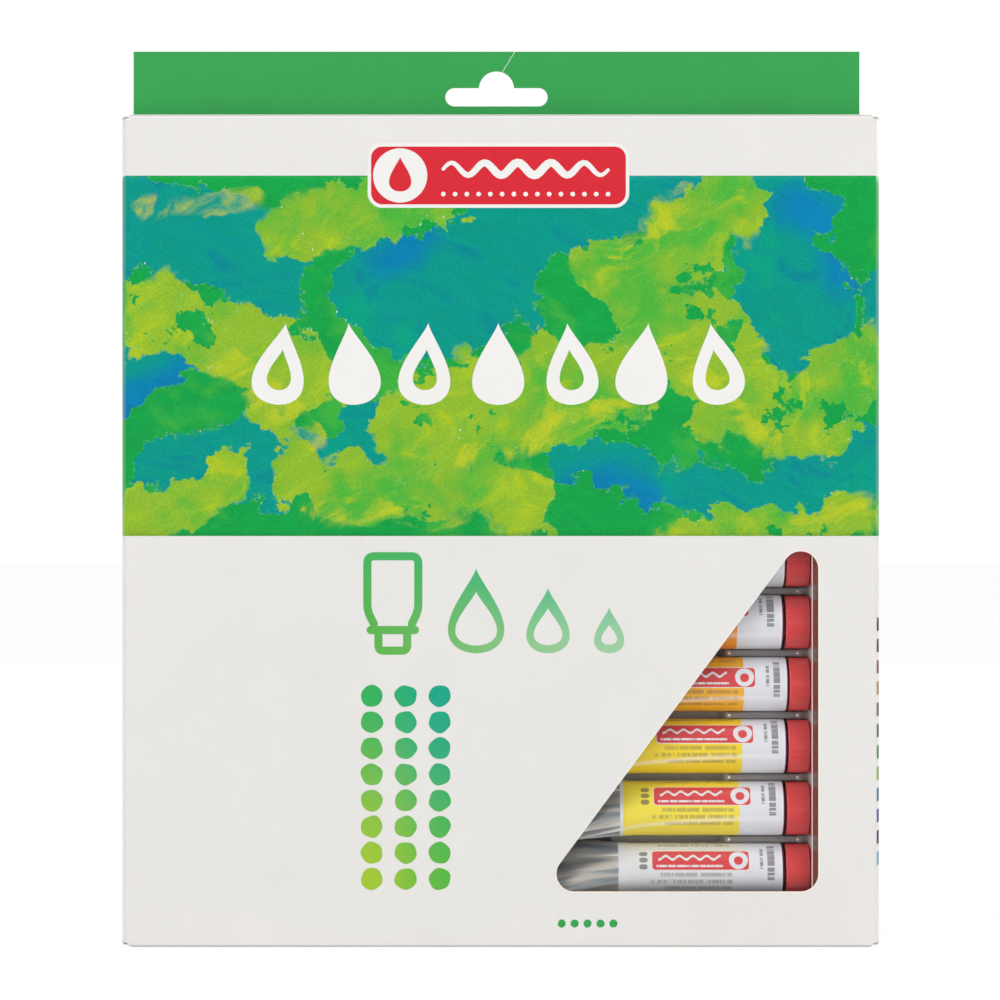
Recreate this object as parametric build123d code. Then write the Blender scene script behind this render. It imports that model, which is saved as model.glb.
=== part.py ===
"""Gouache paint set box: a straight tuck-end carton with a hang tab and a film window, and in it a
clear thermoformed tray with two columns of aluminium paint tubes, each with a turning cap.

Millimetres. The box stands on its bottom closure: +Z is up, the front panel faces -Y, +X is to the
right. The origin is the centre of the bottom of the box. Depths are measured from the front panel's
outer face, and a section is drawn in the plane of depth (to the back) and Z.
"""

from build123d import *
from math import cos, pi, radians, sin, sqrt, tan
import os

# Carton board and panels
board = 0.45
side_margin = 18.6  # from the trough's end wall to the side fold
top_margin = 21.5  # from the top tubes' axes to the top of the closed carton
side_bulge = 2.1  # how far each side panel bows out between its folds
fold_radius = 0.8
crease_gap = 0.1  # between a hinged flap and the board that carries it
end_bend_radius = 1.2  # where the front panel rolls over into each closure
end_lip = 0.15  # flat stretch between that bend and the closure's crease
front_corner_radius = 3.0
glue_flap_width = 12.0
glue_flap_inset = 12.0

# Closures: a lid hinged to the front panel, its tuck flap, and a dust flap on each side panel
lid_side_gap = 0.6
tuck_length = 9.0
tuck_lean = 19.5  # degrees that the tuck flap leans in from upright
tuck_corner_radius = 6.0
tuck_side_gap = 1.4
tuck_back_gap = 0.45  # from the tuck crease to the hang tab's facing
dust_flap_length = 18.0
dust_flap_front_gap = 0.35
dust_flap_back_inset = 2.6  # from the tuck crease to the dust flap's back edge
dust_flap_corner_radius = 2.0

# Hang tab
tab_height = 22.0
tab_right_inset = 2.6
tab_lift = 0.6  # from the closed lid up to the lower edge of the tab's facing
slot_length = 32.0
slot_width = 5.8
slot_rise = 7.8  # slot centre above the closed lid
hook_radius = 5.5  # round notch over the middle of the slot
hook_rise = 10.4

# Window: a right-angled triangle with round corners, and the film glued behind it
window_side_gap = 1.1  # from the trough's end wall to the window's right edge
window_drop = 5.2  # from the bottom tubes' axes to the window's lower edge
window_corner_radius = 5.4
window_leg_x = 69.3  # between corner centres, along the bottom
window_leg_z = 93.3  # between corner centres, up the right side
film_thickness = 0.2
film_margin = 6.0

# Tubes, two columns with the caps outward
row_count = 12
row_gap = 2.4  # between one tube and the next
first_row_height = 22.3
tube_radius = 8.4
tube_recess = 3.0  # from the tray's flange back to the tubes' front
column_gap = 1.6  # between the tails of the two columns
round_length = 58.0
taper_length = 24.0
crimp_length = 4.4
crimp_thickness = 1.2
crimp_tilt = 32.0  # degrees that each flattened tail turns out of upright, so that the tails shingle
tube_sides = 24  # flats that stand for round on a tube, its neck and its cap's bore
shoulder_gap = 0.1  # from the end of the shoulder's slope to the cap's open end
neck_radius = 3.6
neck_length = 6.2

# Caps
cap_radius = 8.15
cap_length = 7.1
cap_lift = 1.5  # from the rim of the shoulder to the cap's open end
cap_rib_count = 24
cap_rib_height = 0.35
neck_clearance = 0.06
neck_end_gap = 0.4

# Tray, one thermoformed sheet
tray_sheet = 0.4
tray_film_gap = 0.25
tray_back_gap = 0.35
tray_edge_gap = 0.8
tray_lip_depth = 5.0
pocket_gap = 0.3
trough_end_gap = 0.3  # from a cap's closed end to the trough's end wall
trough_corner_radius = 5.3
trough_margin = 3.2  # from the outer pockets' walls to the trough's long ends
saddle_inner_x = 70.2
saddle_end_inset = 3.8  # from a saddle's outer end to the trough's end wall
saddle_drop = -1.0  # top of a saddle behind the tubes' axes
rib_drop = 4.5  # top of a low rib behind the tubes' axes
tail_recess_x = 34.0
tail_gap = 0.4

# Derived sizes
row_pitch = 2 * tube_radius + row_gap
row_heights = [first_row_height + row * row_pitch for row in range(row_count)]
box_height = row_heights[-1] + top_margin
pocket_radius = tube_radius + pocket_gap
flange_depth = board + film_thickness + tray_film_gap
axis_depth = flange_depth + tube_recess + tube_radius
back_inner = axis_depth + pocket_radius + tray_sheet + tray_back_gap
box_depth = back_inner + board
shoulder_x = column_gap / 2 + crimp_length + taper_length + round_length
trough_end_x = shoulder_x + cap_lift + cap_length + trough_end_gap
half_width = trough_end_x + side_margin
lid_stack = 2 * (board + crease_gap)  # lid and dust flap, with a gap under each
lid_crease = end_bend_radius + end_lip
tuck_crease = box_depth - 2 * board - tuck_back_gap
crimp_width = pi * tube_radius
tab_centre_x = -tab_right_inset / 2
tail_rise = crimp_width / 2 * cos(radians(crimp_tilt)) + crimp_thickness / 2 + tail_gap


def y_at(depth):
    """The Y of a depth behind the front panel's outer face."""
    return depth - box_depth / 2


def block(x_low, x_high, depth_low, depth_high, z_low, z_high):
    """A box between two values of X, of depth and of Z."""
    size = (x_high - x_low, depth_high - depth_low, z_high - z_low)
    centre = ((x_low + x_high) / 2, y_at((depth_low + depth_high) / 2), (z_low + z_high) / 2)
    return Pos(*centre) * Box(*size)


def across(section, x_low, x_high):
    """A section drawn as (depth, z), extruded along X from x_low to x_high."""
    plane = Plane(origin=(x_low, y_at(0), 0), x_dir=(0, 1, 0), z_dir=(1, 0, 0))
    return extrude(plane * section, x_high - x_low)


def facing(outline, depth_low, depth_high):
    """An outline drawn as (x, z), extruded from one depth to another."""
    plane = Plane(origin=(0, y_at(depth_low), 0), x_dir=(1, 0, 0), z_dir=(0, -1, 0))
    return extrude(plane * outline, depth_low - depth_high)


def upside_down(shape):
    """The same closure at the other end of the box."""
    return mirror(shape, Plane.XY.offset(box_height / 2))


def left_right(shape):
    return mirror(shape, Plane.YZ)


def side_outline(inset):
    """Plan of the panels, inset from their outer faces: two straight panels and two bowed ones."""
    half_depth = box_depth / 2 - inset
    corner_x = half_width - inset
    bow_x = corner_x + side_bulge
    outline = make_face(
        [
            Line((-corner_x, -half_depth), (corner_x, -half_depth)),
            ThreePointArc((corner_x, -half_depth), (bow_x, 0), (corner_x, half_depth)),
            Line((corner_x, half_depth), (-corner_x, half_depth)),
            ThreePointArc((-corner_x, half_depth), (-bow_x, 0), (-corner_x, -half_depth)),
        ]
    )
    return fillet(outline.vertices(), fold_radius - inset)


def side_reach(depth):
    """The X of the right side panel's outer face, at a depth."""
    bow_radius = (box_depth**2 / 4 + side_bulge**2) / (2 * side_bulge)
    bow_centre_x = half_width + side_bulge - bow_radius
    return bow_centre_x + sqrt(bow_radius**2 - y_at(depth) ** 2)


def end_bend():
    """The rolled edge from the front panel to the lid's crease, at the top."""
    outer = Circle(end_bend_radius) - Circle(end_bend_radius - board)
    quarter = outer & Pos(-end_bend_radius / 2, end_bend_radius / 2) * Rectangle(
        end_bend_radius, end_bend_radius
    )
    lip = Pos(end_lip / 2, end_bend_radius - board / 2) * Rectangle(end_lip, board)
    section = Pos(end_bend_radius, box_height - end_bend_radius) * (quarter + lip)
    return across(section, -half_width + fold_radius, half_width - fold_radius)


def slot_cut():
    """The standard hanging slot, with a round notch over its middle."""
    slot = Pos(tab_centre_x, box_height + slot_rise) * SlotOverall(slot_length, slot_width)
    hook = Pos(tab_centre_x, box_height + hook_rise) * Circle(hook_radius)
    return facing(slot + hook, back_inner - 2, box_depth + 2)


def tab_ply(z_low, depth_low, depth_high):
    """One thickness of the hang tab, from z_low to the fold along its top."""
    ply = block(
        -half_width,
        half_width - tab_right_inset,
        depth_low,
        depth_high,
        z_low,
        box_height + tab_height,
    )
    return ply - slot_cut()


def window_outline(margin):
    """The window's outline, grown by a margin."""
    radius = window_corner_radius + margin
    right = trough_end_x + window_side_gap - window_corner_radius
    low = first_row_height - window_drop + window_corner_radius
    corners = [(right, low), (right, low + window_leg_z), (right - window_leg_x, low)]
    circles = Sketch() + [Pos(x, z) * Circle(radius) for x, z in corners]
    return make_hull(circles.edges())


def carton_sleeve():
    sleeve = extrude(side_outline(0) - side_outline(board), box_height)
    front_cut = block(-half_width - 5, half_width + 5, -1, end_bend_radius, 0, end_bend_radius)
    side_cut = block(half_width - fold_radius, half_width + 5, -1, back_inner, 0, lid_stack)
    for cut in (front_cut, side_cut, left_right(side_cut)):
        sleeve -= cut + upside_down(cut)
    sleeve += end_bend() + upside_down(end_bend())
    front_shape = Pos(0, box_height / 2) * RectangleRounded(
        2 * side_reach(lid_crease), box_height, front_corner_radius
    )
    front_zone = block(-half_width - 5, half_width + 5, -1, lid_crease, -1, box_height + 1)
    sleeve -= front_zone - facing(front_shape, -1, lid_crease)
    sleeve -= facing(window_outline(0), -1, board + 1)
    sleeve += tab_ply(box_height, back_inner, box_depth)
    glue_flap = block(
        -half_width + board,
        -half_width + board + glue_flap_width,
        back_inner - board,
        back_inner,
        glue_flap_inset,
        box_height - glue_flap_inset,
    )
    return sleeve + glue_flap


def hang_tab_facing():
    return tab_ply(box_height + tab_lift, back_inner - board, back_inner)


def window_film():
    return facing(window_outline(film_margin), board, board + film_thickness)


def top_lid():
    """The plate from the crease on the front panel to a mitre at the tuck crease."""
    mitre = board * tan(radians(90 - (90 - tuck_lean) / 2))
    section = make_face(
        Polyline(
            (lid_crease + crease_gap / 2, box_height - board),
            (lid_crease + crease_gap / 2, box_height),
            (tuck_crease, box_height),
            (tuck_crease - mitre, box_height - board),
            close=True,
        )
    )
    half_lid = half_width - lid_side_gap
    lid = across(section, -half_lid, half_lid)
    front_corners = lid.edges().filter_by(Axis.Z).group_by(Axis.Y)[0]
    return fillet(front_corners, front_corner_radius - end_lip)


def top_tuck_flap():
    """The flap that goes down inside the back panel, leaning in from the tuck crease."""
    half_tuck = half_width - tuck_side_gap
    outline = Pos(0, -tuck_length / 2) * Rectangle(2 * half_tuck, tuck_length)
    outline = fillet(outline.vertices().group_by(Axis.Y)[0], tuck_corner_radius)
    lean = radians(tuck_lean)
    outer_face = Plane(
        origin=(0, y_at(tuck_crease), box_height),
        x_dir=(1, 0, 0),
        z_dir=(0, -cos(lean), sin(lean)),
    )
    flap = extrude(outer_face * outline, board)
    mitre_angle = (90 - tuck_lean) / 2
    mitre = Plane(
        origin=(0, y_at(tuck_crease), box_height - crease_gap),
        x_dir=(1, 0, 0),
        z_dir=(0, -sin(radians(mitre_angle)), cos(radians(mitre_angle))),
    )
    return split(flap, bisect_by=mitre, keep=Keep.BOTTOM)


def top_dust_flap_right():
    """The flap on the side panel's end, tapered in front so that the lid can lift it clear."""
    root_x = half_width + side_bulge
    tip_x = root_x - dust_flap_length
    front_root = lid_crease + dust_flap_front_gap
    front_tip = front_root + dust_flap_length / 2
    back = tuck_crease - dust_flap_back_inset
    outline = make_face(
        Polyline(
            (root_x, y_at(front_root)),
            (root_x, y_at(back)),
            (tip_x, y_at(back)),
            (tip_x, y_at(front_tip)),
            close=True,
        )
    )
    tip_corners = outline.vertices().group_by(Axis.X)[0]
    outline = fillet(tip_corners, dust_flap_corner_radius) & side_outline(0)
    top = box_height - board - crease_gap
    return extrude(Pos(0, 0, top - board) * outline, board)


def tube(row_height, side):
    """A filled tube with its cap end outward: side is 1 in the right column and -1 in the left."""
    tilt = radians(crimp_tilt)
    round_x = shoulder_x - round_length
    crimp_x = round_x - taper_length
    slope_end_x = shoulder_x + cap_lift - shoulder_gap

    def section_at(x):
        """The plane across the tube at an X, turned as the tail is."""
        return Plane(
            origin=(x, y_at(axis_depth), row_height),
            x_dir=(0, sin(tilt), cos(tilt)),
            z_dir=(1, 0, 0),
        )

    def corners(section, lift):
        return [(corner.X, corner.Y, lift) for corner in section.vertices()]

    barrel_section = RegularPolygon(tube_radius, tube_sides)
    neck_section = RegularPolygon(neck_radius, tube_sides)
    crimp_section = Rectangle(crimp_width, crimp_thickness)
    barrel = extrude(section_at(round_x) * barrel_section, round_length)
    slope = corners(barrel_section, 0) + corners(neck_section, slope_end_x - shoulder_x)
    shoulder = section_at(shoulder_x) * ConvexPolyhedron(slope)
    neck = extrude(
        section_at(slope_end_x) * neck_section, shoulder_x + neck_length - slope_end_x
    )
    squeeze = corners(crimp_section, 0) + corners(barrel_section, taper_length)
    taper = section_at(crimp_x) * ConvexPolyhedron(squeeze)
    crimp = section_at(crimp_x) * Pos(0, 0, -crimp_length / 2) * Box(
        crimp_width, crimp_thickness, crimp_length
    )
    body = barrel + shoulder + neck + taper + crimp
    return body if side > 0 else left_right(body)


def cap(row_height, side):
    """A ribbed cap, closed outward, bored to turn on the tube's neck."""
    cap_x = shoulder_x + cap_lift
    rib_angle = pi / cap_rib_count
    points = [
        (
            (cap_radius - cap_rib_height * (i % 2)) * cos(i * rib_angle),
            (cap_radius - cap_rib_height * (i % 2)) * sin(i * rib_angle),
        )
        for i in range(2 * cap_rib_count)
    ]
    plane = Plane(origin=(cap_x, y_at(axis_depth), row_height), x_dir=(0, 1, 0), z_dir=(1, 0, 0))
    body = extrude(plane * make_face(Polyline(*points, close=True)), cap_length)
    bore_depth = neck_length - cap_lift + neck_end_gap
    bore = RegularPolygon(neck_radius + neck_clearance, tube_sides, major_radius=False)
    body -= extrude(plane * bore, bore_depth)
    return body if side > 0 else left_right(body)


def trough(growth):
    """The hollow in front of the tray's sheet, grown by the sheet for the face behind it."""
    first, last = row_heights[0], row_heights[-1]
    end_x = trough_end_x + growth
    long_end = pocket_radius + trough_margin + growth
    mouth = Pos(0, (first + last) / 2) * RectangleRounded(
        2 * end_x, last - first + 2 * long_end, trough_corner_radius + growth
    )
    mouth_front = flange_depth if growth else flange_depth - 1
    hollow = facing(mouth, mouth_front, axis_depth + saddle_drop + growth)
    low = axis_depth + rib_drop + growth
    floor = axis_depth + pocket_radius + growth
    start = axis_depth + saddle_drop
    inner = saddle_inner_x + growth
    outer = trough_end_x - saddle_end_inset - growth
    hollow += block(-inner, inner, start, low, first, last)
    hollow += block(outer, end_x, start, low, first, last)
    hollow += block(-end_x, -outer, start, low, first, last)
    recess = tail_recess_x + growth
    tail_end = tail_rise + growth
    hollow += block(-recess, recess, start, floor, first - tail_end, last + tail_end)
    for height in row_heights:
        pocket = Pos(axis_depth, height) * Circle(pocket_radius + growth)
        hollow += across(pocket, -end_x, end_x)
    return hollow


def tray():
    half_flange = half_width - board - tray_edge_gap
    low = lid_stack + tray_edge_gap
    high = box_height - low
    flange_back = flange_depth + tray_sheet
    flange = block(-half_flange, half_flange, flange_depth, flange_back, low, high)
    lip_back = flange_depth + tray_lip_depth
    lip = block(-half_flange, half_flange, flange_depth, lip_back, low, high)
    lip -= block(
        -half_flange + tray_sheet,
        half_flange - tray_sheet,
        flange_depth,
        lip_back,
        low + tray_sheet,
        high - tray_sheet,
    )
    return flange + lip + trough(tray_sheet) - trough(0)


nodes = {
    "carton_sleeve": carton_sleeve(),
    "hang_tab_facing": hang_tab_facing(),
    "window_film": window_film(),
    "tray": tray(),
    "top_lid": top_lid(),
    "top_tuck_flap": top_tuck_flap(),
    "top_dust_flap_right": top_dust_flap_right(),
    "top_dust_flap_left": left_right(top_dust_flap_right()),
    "bottom_lid": upside_down(top_lid()),
    "bottom_tuck_flap": upside_down(top_tuck_flap()),
    "bottom_dust_flap_right": upside_down(top_dust_flap_right()),
    "bottom_dust_flap_left": upside_down(left_right(top_dust_flap_right())),
}
for side_name, side in (("left", -1), ("right", 1)):
    for row, height in enumerate(row_heights, start=1):
        nodes[f"tube_{side_name}_{row:02d}"] = tube(height, side)
        nodes[f"cap_{side_name}_{row:02d}"] = cap(height, side)

os.makedirs("parts", exist_ok=True)
for name, shape in nodes.items():
    export_step(shape, f"parts/{name}.step")
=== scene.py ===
import random
from math import atan2, cos, hypot, pi, radians, sin, sqrt, tau

import bpy
from mathutils import Matrix, Vector


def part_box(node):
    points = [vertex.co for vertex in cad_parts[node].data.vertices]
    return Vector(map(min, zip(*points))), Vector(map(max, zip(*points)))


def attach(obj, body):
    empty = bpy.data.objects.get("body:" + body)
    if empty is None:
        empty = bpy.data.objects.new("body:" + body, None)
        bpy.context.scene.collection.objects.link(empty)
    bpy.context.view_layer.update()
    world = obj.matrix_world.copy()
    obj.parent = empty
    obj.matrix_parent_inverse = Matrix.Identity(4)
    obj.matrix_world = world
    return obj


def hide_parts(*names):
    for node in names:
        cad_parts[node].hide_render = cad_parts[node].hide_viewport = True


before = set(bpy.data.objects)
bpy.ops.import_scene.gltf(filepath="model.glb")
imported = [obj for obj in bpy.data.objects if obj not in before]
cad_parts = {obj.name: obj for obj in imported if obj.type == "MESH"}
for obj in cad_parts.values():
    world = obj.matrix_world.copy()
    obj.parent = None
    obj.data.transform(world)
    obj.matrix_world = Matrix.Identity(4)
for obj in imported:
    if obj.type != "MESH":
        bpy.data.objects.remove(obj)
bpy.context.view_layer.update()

MM = 0.001

# -------- sizes, in millimetres
# What the frame gives: the carton stands on Z = 0, its front panel faces -Y.
carton_low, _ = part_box("carton_sleeve")
box_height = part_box("top_lid")[1].z / MM
front_y = carton_low.y / MM
half_depth = -front_y
side_bulge = 2.1
fold_radius = 0.8
half_width = -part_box("hang_tab_facing")[0].x / MM
tuck_lean = radians(19.5)  # how far each tuck flap leans in from upright
row_count = 12

# The camera, in front of the middle of the carton
view_distance = 1004.0  # from the front panel
view_x = -0.2
view_z = 136.9
view_width = 306.0  # what the frame takes in at the front panel
sensor_width = 36.0

# Prints on the front panel, as (left, right, low, high)
picture_low, picture_high = 125.9, 236.15
badge_area = (-40.7, 39.35, 226.3, 246.1)
title_area = (-78.6, 77.1, 166.0, 191.1)
content_area = (-43.5, 42.2, 89.5, 121.0)
count_area = (-42.8, -15.3, 17.6, 80.3)
footer_area = (17.4, 35.8, 5.6, 9.0)
ink_lift = 0.02  # each layer of print stands this far in front of the one behind it


# -------- numbers
def spread(low, high, count):
    """So many equally spaced numbers from low to high."""
    return [low + (high - low) * step / (count - 1) for step in range(count)]


def once_round(steps):
    """The angles of so many equal steps, once round."""
    return [tau * step / steps for step in range(steps)]


def clamp(number):
    return min(max(number, 0), 1)


def shade(colour, factor):
    return tuple(channel * factor for channel in colour)


# -------- node trees
class Value:
    """A number, vector or colour in a node tree. Arithmetic on it adds the nodes that work it out."""

    def __init__(self, nodes, socket):
        self.nodes, self.socket = nodes, socket

    def __add__(self, other):
        return self.nodes.maths("ADD", self, other)

    def __sub__(self, other):
        return self.nodes.maths("SUBTRACT", self, other)

    def __rsub__(self, other):
        return self.nodes.maths("SUBTRACT", other, self)

    def __mul__(self, other):
        return self.nodes.maths("MULTIPLY", self, other)

    def __pow__(self, other):
        return self.nodes.maths("POWER", self, other)

    def __abs__(self):
        return self.nodes.maths("ABSOLUTE", self)


class Nodes:
    """A node tree, with short calls for the nodes that the finishes and the world share."""

    def __init__(self, tree):
        self.tree = tree

    def add(self, kind, values=(), output=0, **settings):
        """A new node with these settings and inputs, which are in order or by name: its output."""
        made = self.tree.nodes.new(f"ShaderNode{kind}")
        for name, value in settings.items():
            setattr(made, name, value)
        for key, value in values.items() if isinstance(values, dict) else enumerate(values):
            self.feed(made.inputs[key], value)
        return Value(self, made.outputs[output])

    def feed(self, socket, value):
        if isinstance(value, Value):
            value = value.socket
        if isinstance(value, bpy.types.NodeSocket):
            self.tree.links.new(value, socket)
        elif socket.type == "RGBA":
            socket.default_value = (*value[:3], 1)
        else:
            socket.default_value = value

    def maths(self, operation, *values):
        return self.add("Math", values, operation=operation)

    def greatest(self, first, *others):
        for other in others:
            first = self.maths("MAXIMUM", first, other)
        return first

    def step(self, value, low, high, start=0.0, end=1.0):
        """Start below low, end above high, and smooth between them."""
        return self.add("MapRange", (value, low, high, start, end), interpolation_type="SMOOTHSTEP")

    def mix(self, share, first, second, blend="MIX"):
        values = {0: share, 6: first, 7: second}  # the sockets that a mix of colours uses
        return self.add("Mix", values, 2, data_type="RGBA", blend_type=blend)

    def place(self):
        """The point in the frame, at rest."""
        return self.add("TexCoord", output="Object")

    def parts(self, vector):
        """Its X, Y and Z."""
        node = self.add("SeparateXYZ", (vector,)).socket.node
        return [Value(self, socket) for socket in node.outputs]

    def attribute(self, name, output="Fac"):
        return self.add("Attribute", output=output, attribute_name=name)

    def stretched(self, vector, scale):
        return self.add("Mapping", {"Vector": vector, "Scale": scale})

    def noise(self, vector, scale, detail=2.0, roughness=0.5, distortion=0.0, output="Fac"):
        values = {"Vector": vector, "Scale": scale, "Detail": detail, "Roughness": roughness}
        return self.add("TexNoise", {**values, "Distortion": distortion}, output)

    def warped(self, vector, scale, amount):
        """The vector, pushed about by up to half the amount."""
        push = self.noise(vector, scale, output="Color")
        return self.add("VectorMath", (push, (amount,) * 3, vector), operation="MULTIPLY_ADD")

    def streaks(self, vector, degrees, long, wide):
        """Noise drawn out along a direction, in a plane."""
        values = {"Vector": vector, "Rotation": (0, 0, radians(degrees)), "Scale": (long, wide, 1)}
        return self.noise(self.add("Mapping", values, vector_type="TEXTURE"), 1.0, 4.0, 0.6)

    def beyond(self, normal, distance_mm, soft_mm=0.15):
        """1 for what lies further along a direction than the distance."""
        along = self.add("VectorMath", (self.place(), normal), "Value", operation="DOT_PRODUCT")
        far, soft = distance_mm * MM, soft_mm * MM / 2
        return self.step(along, far - soft, far + soft)

    def relief(self, height, distance_mm, strength):
        return self.add("Bump", {"Height": height, "Distance": distance_mm * MM, "Strength": strength})

    def seen_directly(self):
        """1 for what the camera sees, straight or in metal and glass."""
        kinds = ("Camera", "Glossy", "Transmission")
        return self.greatest(*(self.add("LightPath", output=f"Is {kind} Ray") for kind in kinds))


class Finish(Nodes):
    """A material being made."""

    def __init__(self, name, **inputs):
        self.material = bpy.data.materials.new(name)
        self.material.use_nodes = True
        super().__init__(self.material.node_tree)
        self.surface = self.tree.nodes["Principled BSDF"]
        self.set(**inputs)

    def set(self, **inputs):
        """Values for the surface's inputs, by their names with _ for each space: the material."""
        for name, value in inputs.items():
            self.feed(self.surface.inputs[name.replace("_", " ")], value)
        return self.material

    def show_both(self, share, first, second):
        """The surface becomes a mix of two shaders: the material."""
        both = self.add("MixShader", (share, first, second))
        self.feed(self.tree.nodes["Material Output"].inputs["Surface"], both)
        return self.material


# -------- colours, linear
WHITE_BOARD = (0.764, 0.746, 0.724)
GREY_BOARD = (0.36, 0.325, 0.29)
PRINT_WHITE = (0.83, 0.815, 0.795)
TAB_GREEN = (0.035, 0.345, 0.078)
BADGE_RED = (0.64, 0.020, 0.034)
CAP_RED = (0.61, 0.019, 0.025)
LABEL_RED = (0.66, 0.045, 0.050)
TEAL = (0.0, 0.32, 0.25)
DEEP_TEAL = (0.0, 0.21, 0.27)
GREEN = (0.006, 0.36, 0.065)
MID_GREEN = (0.060, 0.43, 0.045)
LIME = (0.275, 0.49, 0.030)
YELLOW_LIME = (0.47, 0.565, 0.014)
BLUE = (0.0, 0.215, 0.46)

# Paints, from the bottom row up
PAINTS = {
    "right": [
        (0.74, 0.75, 0.76), (0.89, 0.73, 0.055), (0.89, 0.66, 0.016), (0.87, 0.43, 0.014),
        (0.86, 0.30, 0.022), (0.75, 0.085, 0.02), (0.60, 0.02, 0.025), (0.44, 0.012, 0.04),
        (0.70, 0.09, 0.22), (0.48, 0.015, 0.17), (0.20, 0.02, 0.22), (0.78, 0.45, 0.30),
    ],
    "left": [
        (0.20, 0.50, 0.72), (0.045, 0.014, 0.11), (0.05, 0.07, 0.42), (0.006, 0.20, 0.36),
        (0.32, 0.52, 0.03), (0.02, 0.33, 0.07), (0.06, 0.14, 0.08), (0.14, 0.11, 0.03),
        (0.52, 0.27, 0.04), (0.30, 0.06, 0.045), (0.08, 0.03, 0.02), (0.025, 0.025, 0.028),
    ],
}


# -------- finishes
def on_paper(finish, colour, amount=0.035):
    """The colour on coated board, with a faint mottle and the finest relief of fibres: the material."""
    place = finish.place()
    fibres = finish.noise(finish.stretched(place, (1, 1, 0.35)), 2600, 2, 0.6)
    low, high = (finish.mix(1.0, colour, (level,) * 3, "MULTIPLY") for level in (1 - amount, 1 + amount))
    mottled = finish.mix(finish.noise(place, 60, 3, 0.6), low, high)
    return finish.set(Base_Color=mottled, Normal=finish.relief(fibres, 0.006, 0.5))


def board_finish():
    """Coated white board with grey board inside, and the hang tab's green on the ply behind its facing."""
    finish = Finish("white_board", Roughness=0.42, Specular_IOR_Level=0.3)
    x, y, _ = finish.parts(finish.place())
    skin = 0.25  # how deep into the board the white reaches
    bow_x, bow_radius = bow()
    sideways = finish.greatest(abs(x) - bow_x * MM, 0)
    from_axis = finish.maths("SQRT", sideways * sideways + y * y)
    reach, soft = (bow_radius - skin) * MM, 0.07 * MM
    outside = [finish.step(from_axis, reach - soft, reach + soft)]
    walls = (((0, 1, 0), half_depth), ((0, -1, 0), half_depth), ((0, 0, 1), box_height), ((0, 0, -1), 0))
    outside += [finish.beyond(normal, distance - skin) for normal, distance in walls]
    colour = finish.mix(finish.greatest(*outside), GREY_BOARD, WHITE_BOARD)
    return on_paper(finish, finish.mix(finish.beyond((0, 0, 1), box_height + skin, 0.1), colour, TAB_GREEN))


def flap_finish(name, outward, distance_mm):
    """White outside and grey inside, parted at a distance along the way out."""
    finish = Finish(name, Roughness=0.5, Specular_IOR_Level=0.4)
    return on_paper(finish, finish.mix(finish.beyond(outward, distance_mm), GREY_BOARD, WHITE_BOARD), 0.05)


def flap_finishes():
    """The finish of each flap and lid, by node."""
    skin = 0.22  # how deep into the board the white reaches
    dust_skin = skin + 0.55  # each dust flap lies under its lid
    crease_y = half_depth - 1.35  # where each lid folds into its tuck flap
    lean = (cos(tuck_lean), sin(tuck_lean))
    finishes = {}
    for end, up, crease_z in (("top", 1, box_height), ("bottom", -1, 0)):
        way_out = (0, 0, up)
        tuck_out = (0, lean[0], -up * lean[1])
        tuck_at = crease_y * lean[0] - up * crease_z * lean[1]
        finishes[f"{end}_lid"] = flap_finish(f"{end}_lid_board", way_out, up * crease_z - skin)
        finishes[f"{end}_tuck_flap"] = flap_finish(f"{end}_tuck_board", tuck_out, tuck_at - skin)
        dust = flap_finish(f"{end}_dust_board", way_out, up * crease_z - dust_skin)
        finishes |= {f"{end}_dust_flap_{side}": dust for side in ("left", "right")}
    return finishes


def tab_finish():
    """Green print with a hairline crack of the coating, from the notch to the upper fold, and painted shade
    that darkens the green towards the tab's base.
    """
    finish = Finish("tab_print", Roughness=0.4, Specular_IOR_Level=0.2, Coat_Weight=0.05)
    place = finish.place()
    x, _, z = finish.parts(place)
    crack_x, crack_z, crack_lean = -0.9, 268.6, 0.62  # where it starts, and X for each Z
    along = z - crack_z * MM
    wobble = finish.noise(place, 900, 2) * (0.35 * MM)
    away = abs(x - (along * crack_lean + crack_x * MM) - wobble)
    crack = finish.step(away, 0.09 * MM, 0.2 * MM, 1, 0) * finish.step(along, 0, 0.2 * MM)
    # Painted shade: the green darker towards the base of the tab, where it meets the lid
    low_shade = finish.step(z, box_height * MM, (box_height + 9) * MM)
    green = finish.mix(low_shade, shade(TAB_GREEN, 0.84), TAB_GREEN)
    return on_paper(finish, finish.mix(crack * 0.75, green, WHITE_BOARD), 0.05)


def clear_film_finish():
    """Clear film: it shows what lies behind it, under a faint gloss that grows towards its edge-on view."""
    finish = Finish("clear_film")
    finish.tree.nodes.remove(finish.surface)
    ripple = finish.relief(finish.noise(finish.place(), 25, 1), 0.02, 0.5)
    gloss = finish.add("BsdfGlossy", {"Roughness": 0.04, "Normal": ripple})
    clear = finish.add("BsdfTransparent", {"Color": (0.995,) * 3})
    facing = finish.add("LayerWeight", {"Blend": 0.5}, "Facing")
    return finish.show_both(facing**5 * 0.5 + 0.008, clear, gloss)


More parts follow.
